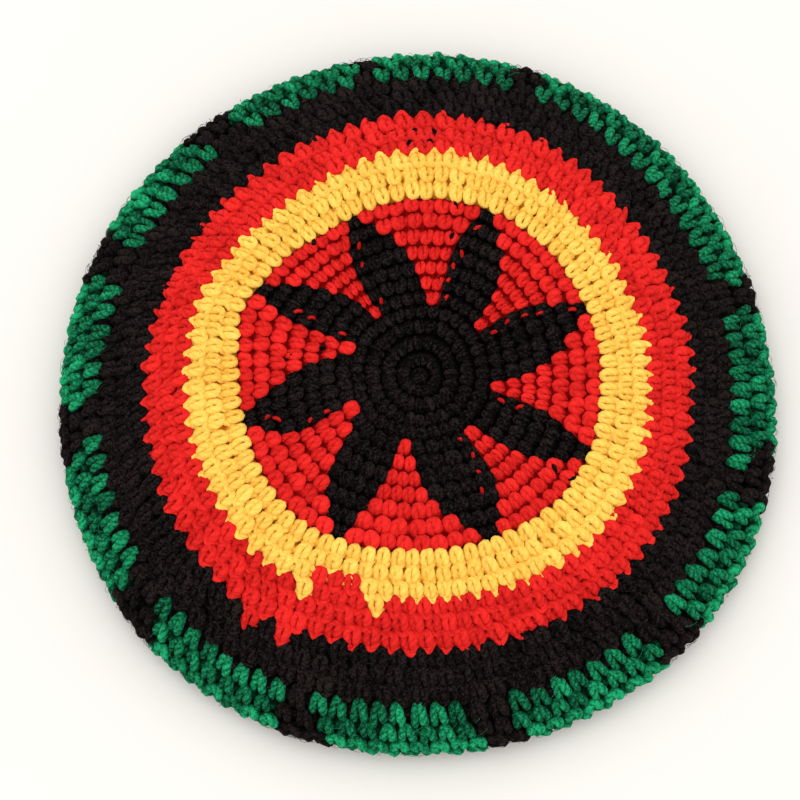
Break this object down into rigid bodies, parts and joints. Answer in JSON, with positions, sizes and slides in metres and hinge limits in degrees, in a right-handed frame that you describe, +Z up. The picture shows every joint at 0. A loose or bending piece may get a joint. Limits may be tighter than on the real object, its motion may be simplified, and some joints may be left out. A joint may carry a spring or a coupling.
{
  "type": "crocheted rasta tam",
  "caption": "Round slouchy crochet tam, hollow, with a petalled star, gold, red and black rings, green rim blocks and a plain head band.",
  "frame": {"origin": "middle of the tam on the surface that it lies on, under the middle of its rim", "axes": "+Z up out of the crown, +Y towards the top of the picture, +X to its right"},
  "size_m": [0.2852, 0.2883, 0.0579],
  "materials": {
    "yarn_black": "matt acrylic yarn, single crochet, slightly fuzzy",
    "yarn_red": "matt acrylic yarn, single crochet",
    "yarn_gold": "matt acrylic yarn, single crochet",
    "yarn_green": "matt acrylic yarn, single crochet"
  },
  "bodies": {
    "root": {"star": "yarn_black", "red_field_1": "yarn_red", "red_field_2": "yarn_red", "red_field_3": "yarn_red", "red_field_4": "yarn_red", "red_field_5": "yarn_red", "red_field_6": "yarn_red", "red_field_7": "yarn_red", "red_field_8": "yarn_red", "gold_band": "yarn_gold", "red_band": "yarn_red", "black_band": "yarn_black", "rim_block_1": "yarn_green", "rim_block_2": "yarn_green", "rim_block_3": "yarn_green", "rim_block_4": "yarn_green", "rim_block_5": "yarn_green", "rim_block_6": "yarn_green", "rim_block_7": "yarn_green", "rim_block_8": "yarn_green", "rim_block_9": "yarn_green", "rim_block_10": "yarn_green", "rim_block_11": "yarn_green", "rim_spacer_1": "yarn_black", "rim_spacer_2": "yarn_black", "rim_spacer_3": "yarn_black", "rim_spacer_4": "yarn_black", "rim_spacer_5": "yarn_black", "rim_spacer_6": "yarn_black", "rim_spacer_7": "yarn_black", "rim_spacer_8": "yarn_black", "rim_spacer_9": "yarn_black", "rim_spacer_10": "yarn_black", "rim_spacer_11": "yarn_black", "rim_fold": "yarn_black", "underside": "yarn_black", "head_band": "yarn_black"}
  },
  "joints": []
}
